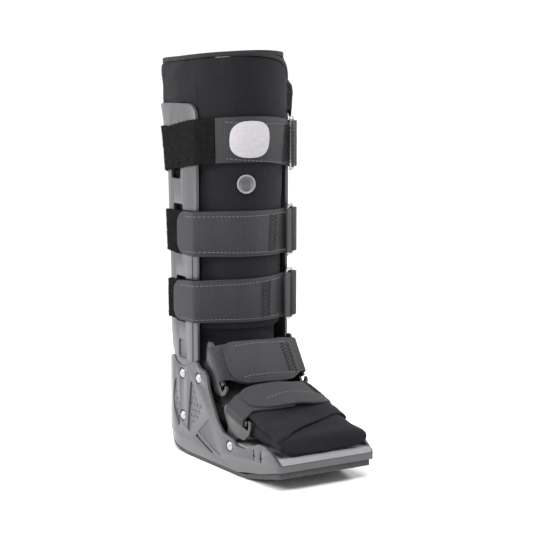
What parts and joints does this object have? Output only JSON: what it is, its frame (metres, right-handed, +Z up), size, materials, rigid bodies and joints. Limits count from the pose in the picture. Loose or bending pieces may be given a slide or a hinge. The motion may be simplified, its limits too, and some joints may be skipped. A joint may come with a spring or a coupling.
{
  "type": "medical walking boot",
  "caption": "Tall grey walking boot with a black padded liner, plastic shell and uprights, three wide leg straps and two foot straps.",
  "frame": {"origin": "middle of the boot's box in plan, on the ground under the outsole", "axes": "+Z up the leg, toe towards -Y, strap ends on the -X side"},
  "size_m": [0.128, 0.2718, 0.4251],
  "materials": {
    "plastic": "satin",
    "pale_plastic": "matte",
    "rubber": "matte",
    "cloth": "matte",
    "trim": "matte",
    "webbing": "matte",
    "pile": "matte",
    "badge_cloth": "matte",
    "steel": "satin"
  },
  "bodies": {
    "root": {"outsole": "rubber", "sole_wedge": "pale_plastic", "boot_shell": "plastic", "footbed": "pale_plastic", "upright_near": "plastic", "rivet_near_1": "steel", "rivet_near_2": "steel", "rivet_near_3": "steel", "rivet_near_4": "steel", "buckle_near_4": "plastic", "buckle_near_5": "plastic", "upright_far": "plastic", "rivet_far_1": "steel", "rivet_far_2": "steel", "rivet_far_3": "steel", "rivet_far_4": "steel", "buckle_far_4": "plastic", "buckle_far_5": "plastic", "liner_body": "cloth", "rim_binding": "trim", "shin_flap": "cloth", "flap_binding": "trim", "forefoot_flap": "cloth", "valve_ring": "pale_plastic", "valve_stem": "pale_plastic", "pile_1": "pile", "web_1": "webbing", "anchor_1": "webbing", "ring_1": "steel", "pile_2": "pile", "web_2": "webbing", "anchor_2": "webbing", "ring_2": "steel", "pile_3": "pile", "web_3": "webbing", "anchor_3": "webbing", "ring_3": "steel", "badge": "badge_cloth", "strap_4": "webbing", "strap_4_turn": "webbing", "strap_5": "webbing", "strap_5_turn": "webbing"}
  },
  "joints": []
}
